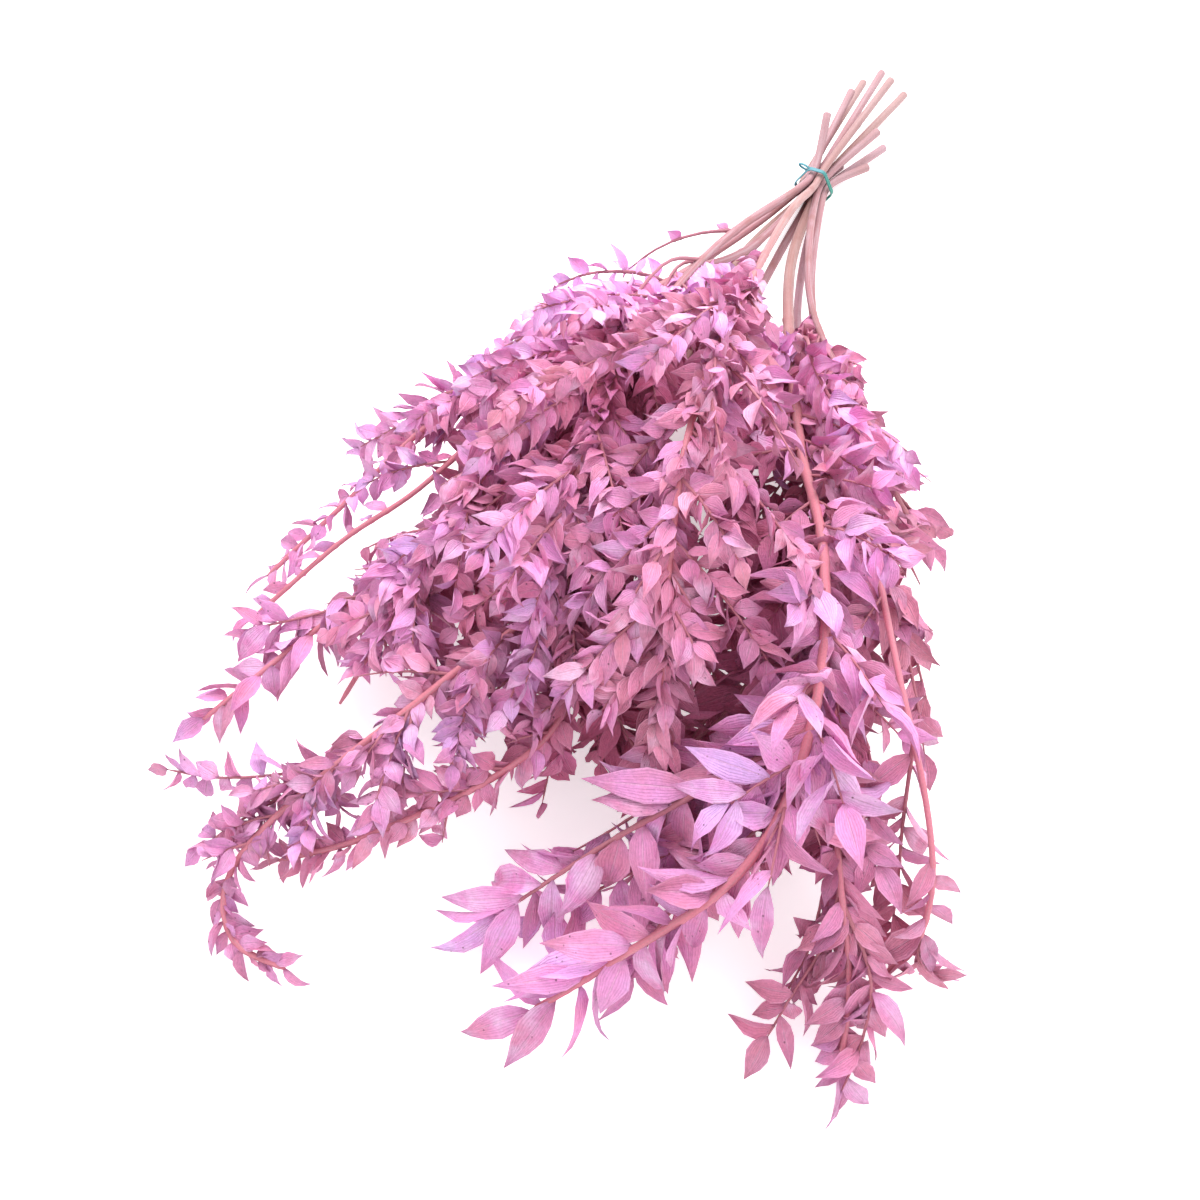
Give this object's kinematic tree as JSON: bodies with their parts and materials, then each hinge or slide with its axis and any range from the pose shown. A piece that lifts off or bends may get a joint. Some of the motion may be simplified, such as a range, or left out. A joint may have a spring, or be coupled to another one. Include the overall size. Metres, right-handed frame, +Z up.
{
  "type": "tied bunch of dried ruscus stems",
  "caption": "Long tied bunch of dyed dried ruscus lying on a surface, with bare cane ends at the band and arching leafy stems that fan out past it.",
  "frame": {"origin": "on the surface that the bunch lies on, under the middle of its bounding box", "axes": "+Y along the bare cane ends that serve as a handle, -Y towards the leafy tips, +Z up from the surface"},
  "size_m": [0.4378, 0.8045, 0.1976],
  "materials": {
    "stem_a_dyed": "matt dyed leaf and bark, magenta pink",
    "stem_b_dyed": "matt dyed leaf and bark, magenta pink",
    "stem_c_dyed": "matt dyed leaf and bark, lilac pink",
    "stem_d_dyed": "matt dyed leaf and bark, lilac pink",
    "stem_e_dyed": "matt dyed leaf and bark, lilac pink",
    "stem_f_dyed": "matt dyed leaf and bark, dusty rose",
    "stem_g_dyed": "matt dyed leaf and bark, dusty rose",
    "stem_h_dyed": "matt dyed leaf and bark, dusty rose",
    "stem_i_dyed": "matt dyed leaf and bark, rose with a lilac sheen",
    "stem_j_dyed": "matt dyed leaf and bark, magenta pink",
    "stem_k_dyed": "matt dyed leaf and bark, dusty rose",
    "stem_l_dyed": "matt dyed leaf and bark, rose with a lilac sheen",
    "tie_band_rubber": "satin rubber, teal green"
  },
  "bodies": {
    "root": {"stem_a": "stem_a_dyed", "stem_b": "stem_b_dyed", "stem_c": "stem_c_dyed", "stem_d": "stem_d_dyed", "stem_e": "stem_e_dyed", "stem_f": "stem_f_dyed", "stem_g": "stem_g_dyed", "stem_h": "stem_h_dyed", "stem_i": "stem_i_dyed", "stem_j": "stem_j_dyed", "stem_k": "stem_k_dyed", "stem_l": "stem_l_dyed", "tie_band": "tie_band_rubber"}
  },
  "joints": []
}
